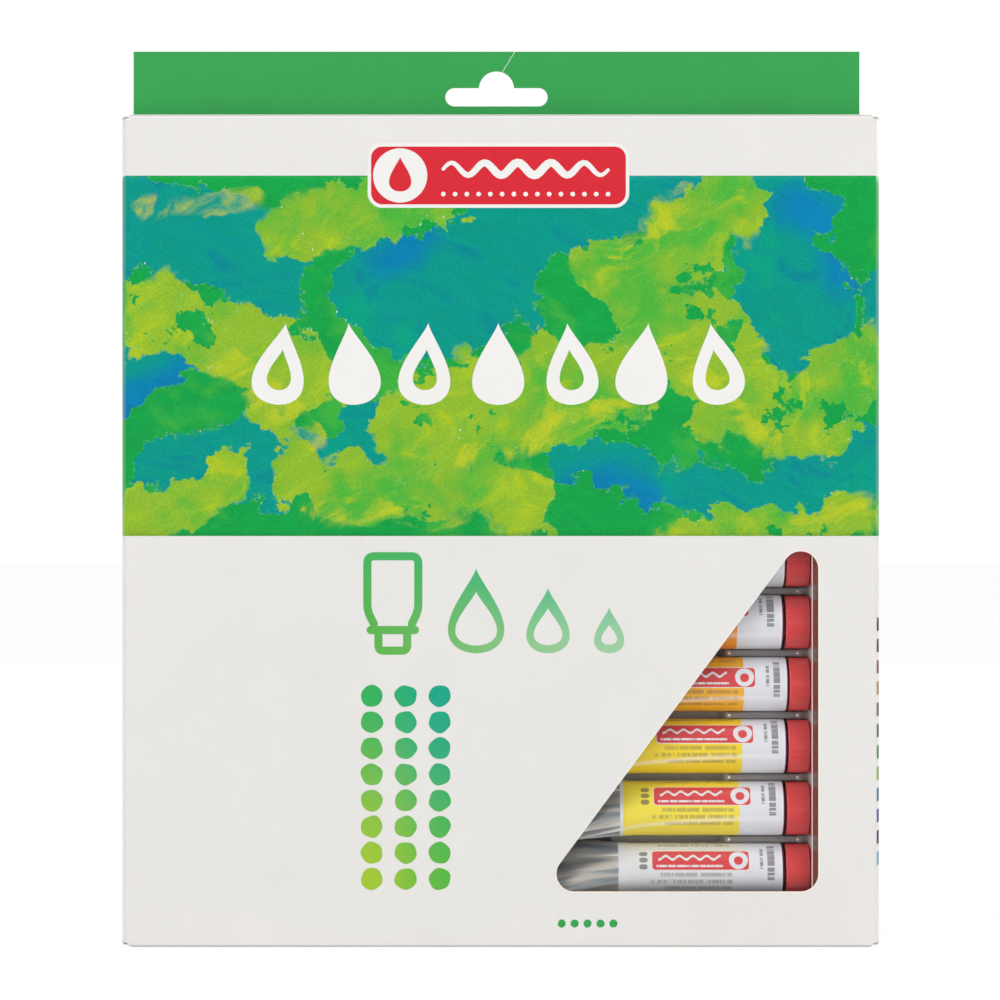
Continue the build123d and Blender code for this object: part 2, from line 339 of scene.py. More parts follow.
def smoky_plastic_finish():
    """Thin thermoformed sheet: glossy and clear enough to show the grey board behind it, and lighter in the
    ribs where it is drawn thin. Along the bend of its end wall it carries a pale painted highlight. On the
    end wall and beyond the bend it carries a painted red reflection of the caps, and beyond the bend painted
    brown shade in the gaps between them. Where these are painted it is nearly opaque."""
    finish = Finish("smoky_plastic", Roughness=0.12, IOR=1.5, Specular_IOR_Level=0.3)
    cloud = finish.noise(finish.place(), 120, 2)
    pale, red, brown = finish.parts(finish.attribute("formed", "Vector"))
    colour = finish.mix(cloud, (0.29, 0.268, 0.262), (0.36, 0.335, 0.328))
    colour = finish.mix(finish.attribute("drawn"), colour, (0.62, 0.575, 0.54))
    # Painted red reflection of the caps, painted brown shade between them, and a painted highlight along the
    # bend
    colour = finish.mix(red, colour, (0.22, 0.010, 0.009))
    colour = finish.mix(brown, colour, (0.15, 0.075, 0.062))
    colour = finish.mix(pale, colour, finish.mix(red, (0.93, 0.86, 0.82), (0.96, 0.62, 0.62)))
    alpha = finish.greatest(finish.greatest(red, brown, pale) * 0.95, 0.62)
    return finish.set(Base_Color=colour, Alpha=alpha)


def cap_finish():
    """Moulded red plastic with painted highlights along the crests of the ribs, paler at the rounded edges
    of its ends, and flecked with pale dust.
    """
    finish = Finish("cap_plastic", Roughness=0.27, Specular_IOR_Level=0.4)
    place = finish.place()
    speck = finish.step(finish.noise(place, 1500, 3, 0.7), 0.66, 0.78)
    colour = finish.mix(finish.noise(place, 300, 3), shade(CAP_RED, 0.92), shade(CAP_RED, 1.08))
    # Painted highlights on the rib crests and paler end edges, with flecks of dust
    sheen_and_dust = finish.attribute("pale") * 0.75 + speck * 0.12
    return finish.set(Base_Color=finish.mix(sheen_and_dust, colour, (0.90, 0.125, 0.12)))


def ink_finish(name, colour, specular=0.2):
    return on_paper(Finish(name, Roughness=0.4, Specular_IOR_Level=specular), colour, 0.03)


def gradient_ink_finish(name, area, *colours):
    """Ink that changes over an area between four corners: low left, low right, high left, high right."""
    finish = Finish(name, Roughness=0.4, Specular_IOR_Level=0.2)
    x, _, z = finish.parts(finish.place())
    across = finish.step(x, area[0] * MM, area[1] * MM)
    up = finish.step(z, area[2] * MM, area[3] * MM)
    low, high = finish.mix(across, *colours[:2]), finish.mix(across, *colours[2:])
    return on_paper(finish, finish.mix(up, low, high))


# -------- meshes
def add_object(name, data):
    made = bpy.data.objects.new(name, data)
    bpy.context.scene.collection.objects.link(made)
    return made


def mesh_object(name, points, faces, material, smooth=True):
    mesh = bpy.data.meshes.new(name)
    mesh.from_pydata([Vector(point) * MM for point in points], [], faces)
    mesh.validate()
    mesh.update()
    mesh.materials.append(material)
    for polygon in mesh.polygons:
        polygon.use_smooth = smooth
    return add_object(name, mesh)


def thicken(piece, thickness_mm):
    """Gives a sheet its thickness, behind its face."""
    thick = piece.modifiers.new("sheet", "SOLIDIFY")
    thick.thickness = thickness_mm * MM
    thick.offset = -1


def give_values(piece, name, values):
    """A number or a vector for each point, which the finish reads by its name."""
    vectors = isinstance(values[0], tuple)
    layer = piece.data.attributes.new(name, "FLOAT_VECTOR" if vectors else "FLOAT", "POINT")
    flat = [number for vector in values for number in vector] if vectors else values
    layer.data.foreach_set("vector" if vectors else "value", flat)


def grid_faces(columns, rows, closed=False):
    """Quads over points that are stored row by row."""
    faces = []
    for row in range(rows - 1):
        for column in range(columns if closed else columns - 1):
            beside = (column + 1) % columns
            low, high = row * columns, (row + 1) * columns
            faces.append((low + column, low + beside, high + beside, high + column))
    return faces


def outline_shape(name, loops, layers, material):
    """A flat print on the front panel: closed loops of (x, z), holes among them."""
    curve = bpy.data.curves.new(name, "CURVE")
    curve.dimensions = "2D"
    curve.fill_mode = "BOTH"
    curve.extrude = 0.3 * ink_lift * MM
    for loop in loops:
        spline = curve.splines.new("POLY")
        spline.points.add(len(loop) - 1)
        for point, (x, z) in zip(spline.points, loop):
            point.co = (x * MM, z * MM, 0, 1)
        spline.use_cyclic_u = True
    drawn = add_object(name, curve)
    mesh = bpy.data.meshes.new_from_object(drawn)
    bpy.data.objects.remove(drawn)
    forward = Matrix.Translation((0, (front_y - ink_lift * layers) * MM, 0))
    mesh.transform(forward @ Matrix.Rotation(pi / 2, 4, "X"))
    mesh.materials.clear()
    mesh.materials.append(material)
    flat = add_object(name, mesh)
    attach(flat, "carton")


def round_corners(corners, radius, count):
    """The points of arcs, each given by its centre and by its first and last angle in degrees."""
    spots = [(x, z, radians(angle)) for x, z, start, end in corners for angle in spread(start, end, count)]
    return [(x + radius * cos(angle), z + radius * sin(angle)) for x, z, angle in spots]


def rounded_rectangle(area, radius, steps):
    left, right, low, high = (side + inward * radius for side, inward in zip(area, (1, -1, 1, -1)))
    centres = ((right, high), (left, high), (left, low), (right, low))
    corners = [(*centre, 90 * quarter, 90 * quarter + 90) for quarter, centre in enumerate(centres)]
    return round_corners(corners, radius, steps + 1)


def drop(x, z, width, height, turn=0.0):
    """A paint drop with its point up, centred on its box."""
    loop = []
    for angle in once_round(48):
        across = 0.65 * width * sin(angle) * sin(angle / 2) ** 1.6
        up = height / 2 * cos(angle)
        loop.append((x + across * cos(turn) - up * sin(turn), z + across * sin(turn) + up * cos(turn)))
    return loop


def dab(x, z, radius, seed, steps=28):
    """A round touch of paint, not quite a circle."""
    source = random.Random(seed)
    waves = [(order, source.uniform(0, tau), source.uniform(0.01, 0.035)) for order in (2, 3, 5)]
    loop = []
    for angle in once_round(steps):
        reach = radius * (1 + sum(size * sin(order * angle + phase) for order, phase, size in waves))
        loop.append((x + reach * cos(angle), z + reach * sin(angle)))
    return loop


def ribbon(points, widths):
    """The outline of a stroke along points, as wide at each as widths say, with round ends."""
    left, right = [], []
    ends = [points[0], *points, points[-1]]
    for before, (x, z), after, width in zip(ends, points, ends[2:], widths):
        along_x, along_z = after[0] - before[0], after[1] - before[1]
        half = width / 2 / hypot(along_x, along_z)
        left.append((x - along_z * half, z + along_x * half))
        right.append((x + along_z * half, z - along_x * half))

    def end_cap(centre, start, half):
        angle = atan2(start[1] - centre[1], start[0] - centre[0])
        turned = spread(angle, angle - pi, 9)[1:-1]
        return [(centre[0] + half * cos(turn), centre[1] + half * sin(turn)) for turn in turned]

    far_end = end_cap(points[-1], left[-1], widths[-1] / 2)
    near_end = end_cap(points[0], right[0], widths[0] / 2)
    return left + far_end + right[::-1] + near_end


# -------- the carton's wall
def bow():
    """Where each bowed side panel has its centre, out from the middle, and its radius."""
    radius = (half_depth**2 + side_bulge**2) / (2 * side_bulge)
    return half_width + side_bulge - radius, radius


def wall_outline():
    """The carton's plan from the middle of the front round to the middle of the back, at +X:
    a list of (distance, x, y, normal x, normal y)."""
    bow_x, bow_radius = bow()
    fold_y = half_depth - fold_radius
    fold_x = bow_x + sqrt((bow_radius - fold_radius) ** 2 - fold_y**2)
    fold_angle = atan2(-fold_y, fold_x - bow_x)
    spots = [(x, -half_depth, 0, -1) for x in spread(0, fold_x, 9)]
    arcs = ((fold_x, -fold_y, fold_radius, -pi / 2, fold_angle), (bow_x, 0, bow_radius, fold_angle, 0))
    for x, y, radius, start, end in arcs:
        for angle in spread(start, end, 13)[1:]:
            spots.append((x + radius * cos(angle), y + radius * sin(angle), cos(angle), sin(angle)))
    spots += [(x, -y, normal_x, -normal_y) for x, y, normal_x, normal_y in spots[-2::-1]]
    path = [(0.0, *spots[0])]
    for before, spot in zip(spots, spots[1:]):
        path.append((path[-1][0] + hypot(spot[0] - before[0], spot[1] - before[1]), *spot))
    return path


def wall_spot(path, distance, lift):
    """The (x, y) that lies so far round the wall from the middle of the front."""
    side = 1 if distance >= 0 else -1
    away = abs(distance)
    if away > path[-1][0]:  # past the middle of the back
        side, away = -side, 2 * path[-1][0] - away
    for before, after in zip(path, path[1:]):
        if away <= after[0]:
            break
    share = (away - before[0]) / (after[0] - before[0])
    x, y, normal_x, normal_y = (a + (b - a) * share for a, b in zip(before[1:], after[1:]))
    return side * (x + normal_x * lift), y + normal_y * lift


def wall_print(name, distances, heights, material):
    """A print that follows the wall, over a grid of distances round it and heights."""
    path = wall_outline()
    spots = [wall_spot(path, distance, ink_lift) for distance in distances]
    points = [(x, y, z) for z in heights for x, y in spots]
    made = mesh_object(name, points, grid_faces(len(distances), len(heights)), material)
    thicken(made, 0.6 * ink_lift)
    give_values(made, "print_place", [(d, z, 0) for z in heights for d in distances])
    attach(made, "carton")
    return made


# -------- the painted band
# Sweeps of a wide brush, by paint: (distance round the wall, height, length, width, turn in degrees)
SWEEPS = {
    "teal": [
        (-96, 214, 78, 34, -18), (-62, 150, 96, 26, 12), (-18, 205, 66, 40, 38), (28, 228, 70, 22, -8),
        (88, 205, 60, 36, -52), (96, 143, 74, 26, 14), (40, 146, 54, 16, -22), (-112, 178, 60, 20, 30),
        (150, 200, 80, 38, 20), (357, 150, 80, 40, -24), (215, 160, 110, 36, 14),
        (292, 205, 110, 36, -16),
    ],
    "lime": [
        (-40, 226, 64, 18, 8), (-84, 184, 72, 26, -30), (6, 166, 92, 30, 24), (62, 178, 70, 30, -36),
        (52, 214, 60, 22, 30), (-28, 140, 88, 18, -10), (106, 172, 50, 22, 48), (92, 128, 90, 14, 4),
        (-104, 134, 60, 16, 16), (165, 150, 90, 26, -14), (332, 215, 90, 26, 18),
        (225, 215, 100, 26, -10), (282, 150, 100, 30, 12),
    ],
    "yellow": [
        (-70, 168, 46, 9, -34), (14, 158, 60, 8, 22), (70, 166, 42, 8, -40), (-34, 132, 56, 6, -8),
        (46, 222, 34, 6, 34), (-92, 228, 40, 7, 6), (110, 134, 46, 6, 6), (180, 146, 60, 8, -12),
        (317, 156, 60, 8, 14),
    ],
    "blue": [
        (36, 140, 30, 10, -12), (-104, 172, 34, 9, 30), (99, 217, 34, 10, -56), (-30, 214, 22, 7, 40),
        (160, 198, 44, 12, 20), (347, 148, 44, 10, -24),
    ],
}


def sweep_fields(distance, height):
    """How far inside the nearest sweep of each paint a point lies."""
    fields = dict.fromkeys(SWEEPS, -12.0)
    for paint, sweeps in SWEEPS.items():
        for x, z, length, width, turn in sweeps:
            angle = radians(turn)
            along = (distance - x) * cos(angle) + (height - z) * sin(angle)
            across = (height - z) * cos(angle) - (distance - x) * sin(angle)
            across += 0.14 * width * sin(along / length * 5 + x)
            past = max(abs(along) - (length - width) / 2, 0)
            fields[paint] = max(fields[paint], width / 2 - hypot(past, across))
    return fields


def painted_finish():
    """Thick paint in broad strokes: torn patches that meet in a sharp edge here and a soft one
    there, each paint with its own run of bristle marks, and a fine tooth over it all."""
    finish = Finish("painted_band", Roughness=0.42, Specular_IOR_Level=0.1)
    place = finish.attribute("print_place", "Vector")
    in_teal, in_lime, in_blue = finish.parts(finish.attribute("reach", "Vector"))
    flow = finish.warped(place, 0.012, 26.0)
    torn = finish.warped(place, 0.16, 7.0)
    swell = finish.noise(finish.warped(place, 0.03, 30.0), 0.055, 3, 0.5)
    ragged = finish.noise(torn, 0.14, 4, 0.55)
    tone = finish.noise(flow, 0.035, 4, 0.6)
    crumbs = finish.noise(place, 0.8, 3, 0.6)
    soft = finish.step(finish.noise(place, 0.05, 2), 0.46, 0.66, 0.25, 2.6)
    edge = (swell - 0.5) * 34 + (ragged - 0.5) * 13 + (crumbs - 0.5) * 1.2

    def patch(inside, amount):
        field = edge * amount + inside
        return abs(field), finish.step(field, soft * -1, soft)

    def strokes(degrees, low, high):
        """Bristle marks between two tones, and the share of a broader mark beside them."""
        fine = finish.streaks(flow, degrees, 16.0, 0.9)
        broad = finish.streaks(flow, degrees + 4, 44.0, 9.0)
        return finish.mix(finish.step(fine * 0.4 + broad * 0.6, 0.38, 0.62), low, high), broad

    ground, _ = strokes(8, shade(GREEN, 0.9), GREEN)
    ground = finish.mix(finish.step(tone, 0.52, 0.68, 0, 0.8), ground, MID_GREEN)
    teal, teal_mark = strokes(-24, shade(TEAL, 0.88), TEAL)
    teal = finish.mix(finish.step(teal_mark, 0.48, 0.70, 0, 0.8), teal, DEEP_TEAL)
    teal = finish.mix(finish.step(tone, 0.55, 0.70, 0, 0.7), teal, (0.0, 0.36, 0.19))
    blue, _ = strokes(-14, shade(BLUE, 0.84), BLUE)
    teal = finish.mix(finish.step(edge * 0.35 + in_blue, -6.0, 4.0, 0, 0.95), teal, blue)
    lime, lime_mark = strokes(28, shade(LIME, 0.93), LIME)
    lime = finish.mix(finish.step(tone, 0.36, 0.58, 0.95, 0), lime, MID_GREEN)
    lime = finish.mix(finish.step(lime_mark, 0.50, 0.72, 0, 0.7), lime, YELLOW_LIME)
    blots = crumbs * 0.12 + finish.noise(torn, 0.075, 3, 0.5)
    lime = finish.mix(finish.step(blots, 0.70, 0.712), lime, ground)
    past_teal, teal_patch = patch(in_teal, 1.0)
    past_lime, lime_patch = patch(in_lime, 0.9)
    _, yellow_patch = patch(finish.attribute("narrow"), 0.35)
    colour = finish.mix(lime_patch, finish.mix(teal_patch, ground, teal), lime)
    dry = yellow_patch * finish.step(lime_mark, 0.40, 0.60)
    colour = finish.mix(dry * 0.55, colour, (0.56, 0.58, 0.02))
    away = finish.maths("MINIMUM", past_teal, past_lime)
    lip = finish.step(away, 0.15, 0.6, 1, 0) * finish.step(crumbs, 0.46, 0.6)
    colour = finish.mix(lip * 0.3, colour, (0.30, 0.60, 0.16))
    glints = finish.noise(finish.stretched(place, (0.9, 0.6, 1)), 1.3, 2, 0.6)
    wet = finish.step(glints, 0.66, 0.70) * finish.step(away, 0.5, 1.6, 1, 0)
    wet = wet * finish.step(finish.noise(place, 0.06, 1), 0.57, 0.62)
    colour = finish.mix(wet * 0.9, colour, (0.80, 0.88, 0.86))
    tooth = finish.noise(finish.stretched(place, (1.0, 2.1, 1)), 1.15, 3, 0.75)
    colour = finish.mix(1.0, colour, finish.step(tooth, 0.3, 0.7, 0.84, 1.13), "MULTIPLY")
    fibres = finish.noise(finish.place(), 2600, 2)
    return finish.set(Base_Color=colour, Normal=finish.relief(fibres, 0.006, 0.5))


def painted_band():
    """The band goes once round the carton, from the left fold of the back to the same fold again."""
    reach = wall_outline()[-1][0]
    fold = half_width - fold_radius
    back_fold = reach - fold
    near_fold = (0.0, 0.15, 0.3, 0.5, 0.7, 0.9, 1.1)
    side = [fold + offset for offset in near_fold[1:]] + spread(fold + 1.6, back_fold - 1.6, 28)
    side += [back_fold - offset for offset in near_fold[::-1]]
    back = spread(back_fold + 2, reach + fold, 116)
    distances = [-d for d in side[::-1]] + spread(-fold, fold, 116) + side + back
    heights = spread(picture_low, picture_high, 56)
    band = wall_print("painted_band", distances, heights, painted_finish())
    fields = [sweep_fields(distance, z) for z in heights for distance in distances]
    give_values(band, "reach", [(field["teal"], field["lime"], field["blue"]) for field in fields])
    give_values(band, "narrow", [field["yellow"] for field in fields])


# -------- prints on the front panel
def badge():
    """A plain red plate with a white keyline: a disc with a drop, a brush line and a row of dots."""
    left, right, low, high = badge_area
    middle = (low + high) / 2
    keyline = 1.05
    red = ink_finish("badge_red", BADGE_RED)
    white = ink_finish("badge_white", PRINT_WHITE)
    outline_shape("badge_keyline", [rounded_rectangle(badge_area, 4.5, 12)], 2, white)
    inner = (left + keyline, right - keyline, low + keyline, high - keyline)
    outline_shape("badge_plate", [rounded_rectangle(inner, 3.5, 12)], 3, red)
    disc_x, disc_radius = left + keyline + 8.9, 8.3
    disc_area = (disc_x - disc_radius, disc_x + disc_radius, middle - disc_radius, middle + disc_radius)
    outline_shape("badge_disc", [rounded_rectangle(disc_area, disc_radius, 20)], 4, white)
    outline_shape("badge_drop", [drop(disc_x, middle + 0.4, 7.6, 10.6)], 5, red)
    start, end = disc_x + disc_radius + 4.9, right - 6.5
    line = [(x, middle + 2.0 + 1.9 * sin((x - start) * 0.62)) for x in spread(start, end, 61)]
    widths = [0.7 + 1.9 * sin(pi * (step + 4) / 68) for step in range(61)]
    outline_shape("badge_brush_line", [ribbon(line, widths)], 4, white)
    dots = [dab(x, low + 4.2, 0.72, index, 14) for index, x in enumerate(spread(start, end, 15))]
    outline_shape("badge_dots", dots, 4, white)


def title_drops():
    """Seven white drops over the painted band, open and solid in turn."""
    left, right, low, high = title_area
    turns = (-8, 6, -4, 0, 5, -7, 8)
    pitch, height, middle = (right - left) / len(turns), high - low, (low + high) / 2
    width = 0.8 * pitch
    loops = []
    for index, turn in enumerate(turns):
        x = left + (index + 0.5) * pitch
        loops.append(drop(x, middle, width, height, radians(turn)))
        if index % 2 == 0:
            hollow = drop(x, middle - 0.07 * height, 0.46 * width, 0.5 * height, radians(turn))
            loops.append(hollow[::-1])
    outline_shape("title_drops", loops, 2, ink_finish("title_white", PRINT_WHITE))


def content_pictogram():
    """In thin lines, a tube and the drops that it holds."""
    left, right, low, high = content_area
    thin = 2.5
    corners = ((0.11, 0.43, 0.07), (0.33, 0.60, 0.35), (0.06, 0.42, 0.10), (0.006, 0.43, 0.26))
    ink = gradient_ink_finish("content_ink", content_area, *corners)
    middle = left + 10.5
    neck, shoulder = low + 7.0, low + 11.5

    def mirrored(half_line):
        """A line and its mirror image, joined at the line's end."""
        return [(middle - x, z) for x, z in half_line] + [(middle + x, z) for x, z in half_line[::-1]]

    tube_line = mirrored([(5.8, shoulder - 2.0), (7.8, shoulder + 2.0), (7.8, high - 1.3)])
    cap_line = mirrored([(4.4, neck), (4.4, low + 1.3)])
    outline_shape("content_tube", [rounded_line(tube_line, thin, 2.2)], 1, ink)
    outline_shape("content_cap", [rounded_line(cap_line, thin, 1.6)], 1, ink)
    outline_shape("content_collar", [ribbon(mirrored([(6.8, neck + 0.6)]), [thin, thin])], 1.5, ink)
    for index, (x, tall) in enumerate(((left + 36, 26.0), (left + 58, 20.0), (right - 9, 14.0))):
        up = low + tall / 2 + 0.5
        wide = 0.74 * tall
        hollow = 1 - 2 * thin / wide
        inside = drop(x, up - 0.09 * tall, wide * hollow, tall * hollow * 0.86)
        outline_shape(f"content_drop_{index + 1}", [drop(x, up, wide, tall), inside[::-1]], 1, ink)


def rounded_line(points, width, radius):
    """The outline of an open line of straight runs with rounded corners."""
    path = [points[0]]
    for before, corner, after in zip(points, points[1:], points[2:]):
        corner = Vector(corner)
        ways = Vector(before) - corner, Vector(after) - corner
        start, end = (corner + way.normalized() * min(radius, way.length / 2) for way in ways)
        for share in spread(0, 1, 7):
            path.append(tuple(start.lerp(corner, share).lerp(corner.lerp(end, share), share)))
    path.append(points[-1])
    return ribbon(path, [width] * len(path))


def count_dots():
    """One touch of paint for each tube, three across and eight up."""
    left, right, low, high = count_area
    radius = 3.35
    corners = ((0.35, 0.55, 0.03), (0.09, 0.45, 0.05), (0.03, 0.42, 0.10), (0.005, 0.36, 0.24))
    ink = gradient_ink_finish("count_ink", count_area, *corners)
    loops = []
    for column, x in enumerate(spread(left + radius, right - radius, 3)):
        for row, z in enumerate(spread(low + radius, high - radius, 8)):
            loops.append(dab(x, z, radius, 10 * row + column))
    outline_shape("count_dots", loops, 1, ink)


def footer_dots():
    left, right, low, high = footer_area
    middle = (low + high) / 2
    loops = [dab(x, middle, 1.25, index, 20) for index, x in enumerate(spread(left + 1.3, right - 1.3, 5))]
    outline_shape("footer_dots", loops, 1, ink_finish("footer_green", TAB_GREEN))


def side_patches():
    """A colour chart of the paints on the right side panel."""
    top, pitch, tall, wide = 100.8, 6.53, 4.07, 7.6
    for column, (side, start) in enumerate((("left", 1.6), ("right", 12.6))):
        distances = spread(half_width + start, half_width + start + wide, 9)
        for row, paint in enumerate(PAINTS[side][::-1]):
            low = top - tall - row * pitch
            name = f"paint_patch_{column + 1}_{row + 1:02d}"
            ink = ink_finish(f"{name}_ink", shade(paint, 0.8), 0.03)
            wall_print(name, distances, [low, low + tall], ink)


# -------- tubes
BARREL_RADIUS = 8.4
CRIMP_TILT = radians(32)
TUBE_ENDS = {"tip": 0.8, "crimp": 5.2, "round": 43.0, "shoulder": 87.2, "neck": 93.4}
SHOULDER_DROP = 1.4  # how far the shoulder slopes in along the tube
NECK_RADIUS = 3.6
# By row from the bottom up: how many degrees each tube is turned, so that its label looks up, and
# how far the print, the tube and its cap have slid towards their end of the pocket
LABEL_TURNS = [28, 33, 32, 18, 36, 20, 24, 15, 29, 22, 12, 27]
PRINT_SHIFTS = [0.0, 0.2, 0.4, 0.45, -0.1, 0.0, 0.3, 0.4, 0.0, 0.2, 0.5, 0.1]
TUBE_SHIFTS = [-0.5, -0.2, 0.4, 0.9, -0.6, 0.1, 0.3, -0.3, 0.5, 0.0, -0.4, 0.2]
CAP_SHIFTS = [-0.5, -0.3, 0.2, 0.5, -0.6, -0.4, 0.1, -0.2, 0.3, 0.0, -0.4, 0.1]
# A painted highlight line along each tube, where a light would glint on it: degrees below the axis, and how
# bright it is painted
PAINTED_HIGHLIGHTS = [(40, 0.0), (18, 0.34), (18, 0.34), (27, 0.34), (26, 0.3), (22, 0.3)] * 2


def tube_print_group():
    """What every tube is printed with, from millimetres along it and round it: a white collar, a band of its
    paint's colour, a red label with plain ornaments, and rows of dashes for small print. Over the print lie
    a painted highlight line along the tube, and painted shade with the cap's red in it on the shoulder."""
    group = bpy.data.node_groups.new("tube_print", "ShaderNodeTree")
    given, made = ("Along", "Around", "Line", "Burnish", "Paint", "Metal"), ("Colour", "Bare")
    for name in given + made:
        kind = "NodeSocketColor" if name in ("Paint", "Metal", "Colour") else "NodeSocketFloat"
        group.interface.new_socket(name, in_out="INPUT" if name in given else "OUTPUT", socket_type=kind)
    finish = Nodes(group)
    outputs = group.nodes.new("NodeGroupInput").outputs
    along, around, line, highlight_strength, paint, metal = (Value(finish, outputs[name]) for name in given)
    soft = 0.07
    print_start, paint_start, paint_end, shoulder = 36.75, 37.7, 73.45, 87.15
    label_middle, disc_middle = 61.97, 73.6
    enamel, keyline, dark = (0.735, 0.745, 0.79), (0.78, 0.745, 0.72), (0.075, 0.065, 0.06)

    def past(start, before=0, after=1):
        return finish.step(along, start - soft, start + soft, before, after)

    def rectangle(centre_along, centre_round, half_along, half_round, corner):
        out_along = finish.greatest(abs(along - centre_along) - (half_along - corner), 0)
        out_round = finish.greatest(abs(around - centre_round) - (half_round - corner), 0)
        from_middle = finish.maths("SQRT", out_round * out_round + out_along * out_along)
        return finish.step(from_middle, corner - soft, corner + soft, 1, 0)

    def small_print(centre_along, centre_round, half_along, half_round):
        """A bar broken into dashes of uneven length."""
        place = finish.add("CombineXYZ", (along, around, centre_round))
        stretch = (1.15, 0.05, 1) if half_along > half_round else (0.05, 1.15, 1)
        dashes = finish.step(finish.noise(finish.stretched(place, stretch), 1.0, 2, 0.8), 0.40, 0.47)
        return rectangle(centre_along, centre_round, half_along, half_round, 0.2) * dashes

    wave = finish.maths("SINE", along * 1.5) * 0.62
    brush_line = finish.step(abs(around - (wave + 0.75)), 0.34, 0.5, 1, 0)
    layers = [
        (past(print_start), enamel),
        (past(paint_start) * past(paint_end, 1, 0), paint),
        (rectangle(label_middle, 0, 15.1, 3.35, 1.2), keyline),
        (rectangle(label_middle, 0, 14.85, 3.1, 1.0), LABEL_RED),
        (rectangle(disc_middle, 0, 2.9, 2.9, 2.9), enamel),
        (rectangle(disc_middle, -0.2, 1.4, 1.4, 1.4), LABEL_RED),
        (brush_line * rectangle(58.6, 0.7, 9.6, 2.0, 0.5), enamel),
        (small_print(58.6, -1.95, 10.2, 0.34), enamel),
    ]
    rows = [(60.5, -4.6, 11.4), (59.2, -6.8, 12.6), (61.2, -9.1, 10.6), (60.0, 6.1, 11.0), (64.0, 8.2, 8.0)]
    layers += [(small_print(*row, 0.6) * 0.42, dark) for row in rows]
    layers += [(small_print(*bar) * 0.72, dark) for bar in ((83.6, -0.2, 1.1, 6.2), (80.7, 0.6, 0.5, 3.4))]
    layers += [(rectangle(44.4, height, 1.3, 0.8, 0.8) * 0.75, dark) for height in (-2.2, 0, 2.2)]
    rim = finish.step(along, 86.5, 86.65) * finish.step(along, shoulder - 0.1, shoulder, 1, 0)
    # The shoulder cone is painted dark wine: painted shade in the gap under the cap, with a painted red
    # reflection of the cap in it
    layers += [(rim * 0.8, (0.86, 0.83, 0.94)), (finish.step(along, shoulder, 87.3), (0.20, 0.022, 0.075))]
    bare = past(print_start, 1, 0)
    ahead = 79 - along  # the painted highlight line bends away from the axis towards the crimp
    # Painted highlight: a pale line along the tube where a light would glint, stronger on the bare metal
    painted_highlight = finish.step(abs(around + (ahead * ahead * 0.00194 + line)), 0.15, 1.25, 1, 0)
    painted_highlight = painted_highlight * finish.step(along, 86.0, 86.6, 1, 0) * ((bare * 1.9 + 1.0) * highlight_strength)
    layers.append((painted_highlight, (0.94, 0.94, 0.96)))
    colour = metal
    for share, ink in layers:
        colour = finish.mix(share, colour, ink)
    result = group.nodes.new("NodeGroupOutput")
    finish.feed(result.inputs["Colour"], colour)
    finish.feed(result.inputs["Bare"], bare)
    return group


def tube_finish(name, group, **given):
    """Soft aluminium whose colour runs in streaks from dark blue-grey through warm tan to near white:
    rolling streaks, with painted reflections in them; the lacquered print over most of it.
    """
    finish = Finish(name)
    along, around = finish.attribute("along"), finish.attribute("around")
    place = finish.add("CombineXYZ", (along, around))
    streaks = finish.noise(finish.stretched(place, (0.03, 0.30, 1)), 1.0, 2, 0.45, 0.5)
    fine = finish.noise(finish.stretched(place, (0.06, 1.4, 1)), 1.0, 3, 0.6)
    # Painted reflections: dark, tan and near-white bands in the metal's own colour, along with its rolling
    # streaks
    metal = finish.mix(finish.step(streaks, 0.33, 0.48), (0.20, 0.235, 0.265), (0.48, 0.45, 0.395))
    metal = finish.mix(finish.step(streaks, 0.50, 0.64), metal, (0.93, 0.94, 0.95))
    metal = finish.mix(finish.step(fine, 0.45, 0.75, 0, 0.35), metal, (0.55, 0.58, 0.60))
    given |= {"Along": along, "Around": around, "Metal": metal}
    colour = finish.add("Group", given, node_tree=group)
    bare = Value(finish, colour.socket.node.outputs["Bare"])
    rough = finish.step(streaks, 0.3, 0.7, 0.28, 0.42)
    relief = finish.relief(streaks + fine * 0.3, 0.08, 0.4)
    return finish.set(Base_Color=colour, Metallic=bare * 0.5, Roughness=rough, Normal=relief)


def tube_sections():
    """Places along the tube where its mesh has a ring: (along, share of flattening, radius)."""
    tip, crimp, whole, shoulder, neck = TUBE_ENDS.values()
    rings = [(x, 1.0, None) for x in spread(tip, crimp, 5)]
    rings += [(x, None, None) for x in spread(crimp + 0.8, whole, 21)]
    rings += [(x, 0.0, BARREL_RADIUS) for x in spread(whole + 3, shoulder - 0.5, 14)]
    rings += [(shoulder - 0.18, 0.0, BARREL_RADIUS - 0.03), (shoulder, 0.0, BARREL_RADIUS - 0.22)]
    rings += [(shoulder + SHOULDER_DROP, 0.0, NECK_RADIUS), (neck, 0.0, NECK_RADIUS)]
    return rings


def closed_faces(points, around_count, flipped):
    """The faces of a solid made of rings of points, with its two ends."""
    faces = grid_faces(around_count, len(points) // around_count, closed=True)
    last = len(points) - around_count
    faces += [tuple(range(around_count))[::-1], tuple(range(last, last + around_count))]
    return [face[::-1] for face in faces] if flipped else faces


